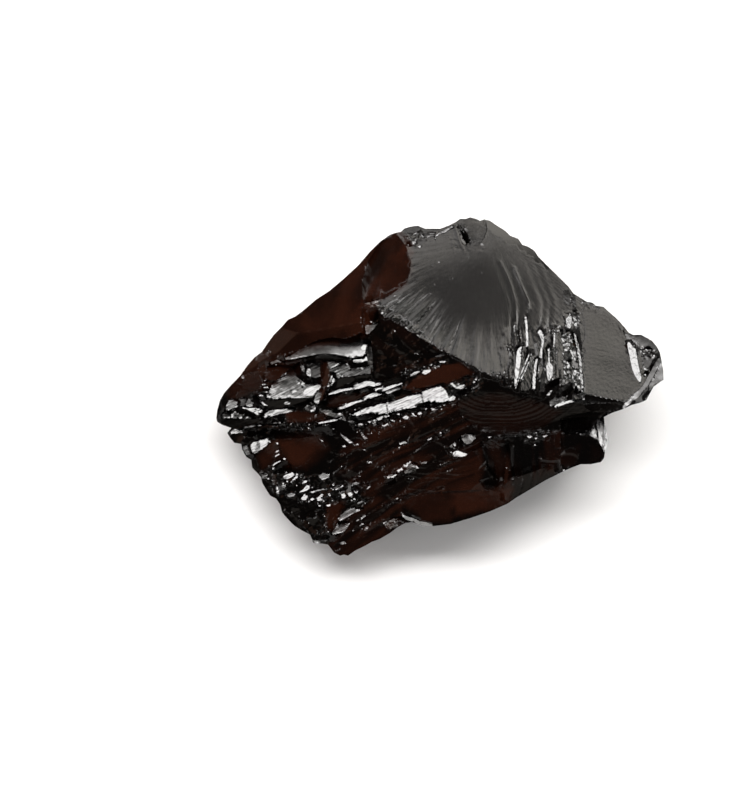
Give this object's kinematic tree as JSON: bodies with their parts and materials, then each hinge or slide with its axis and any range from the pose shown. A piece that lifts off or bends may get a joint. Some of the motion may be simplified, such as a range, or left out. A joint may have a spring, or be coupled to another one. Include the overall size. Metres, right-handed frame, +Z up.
{
  "type": "shungite specimen",
  "caption": "Hand-sized lump of black glassy stone with shell-like fractures, sharp ridges and flutes, lying on a flat broken underside.",
  "frame": {"origin": "middle of the lump's bounding box in plan, on the plane of the flat underside it rests on", "axes": "+X along the longest way of the lump, +Z up through the crown and ridge, +Y toward the broad crown face"},
  "size_m": [0.0769, 0.0583, 0.0314],
  "materials": {
    "stone": "glassy, mirror-like on fresh breaks, with a dark brown cast"
  },
  "bodies": {
    "root": {"stone": "stone"}
  },
  "joints": []
}
